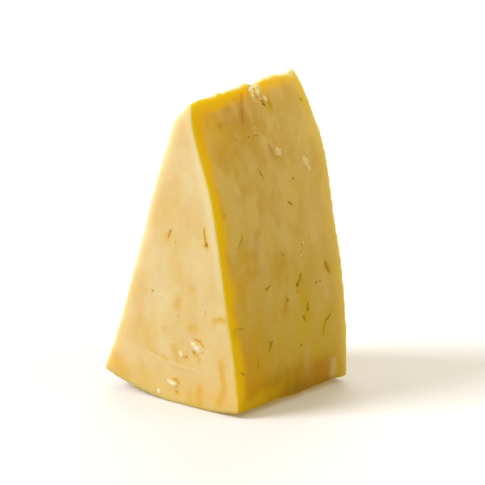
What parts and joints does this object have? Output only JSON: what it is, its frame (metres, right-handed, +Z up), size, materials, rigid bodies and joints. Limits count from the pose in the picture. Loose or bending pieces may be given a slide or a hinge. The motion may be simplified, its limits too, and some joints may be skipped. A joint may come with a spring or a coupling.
{
  "type": "cheese wedge",
  "caption": "Wedge of pale yellow semi-hard cheese, a sector cut from a small wheel, standing on its rim with an oblique tip and a crumbled top edge.",
  "frame": {"origin": "middle of the bounding box's footprint, on the surface that the wedge stands on", "axes": "+Z up, along the wedge's longest extent, from the rim to the tip. The wheel's axis runs along Y, with its front face towards -Y. The curved cut faces +X and the straight cut faces -X."},
  "size_m": [0.0632, 0.0612, 0.1095],
  "materials": {
    "cheese_paste": "waxy cut cheese paste, cream yellow, deeper yellow along the edges, with small crumbly openings"
  },
  "bodies": {
    "root": {"cheese_wedge": "cheese_paste"}
  },
  "joints": []
}
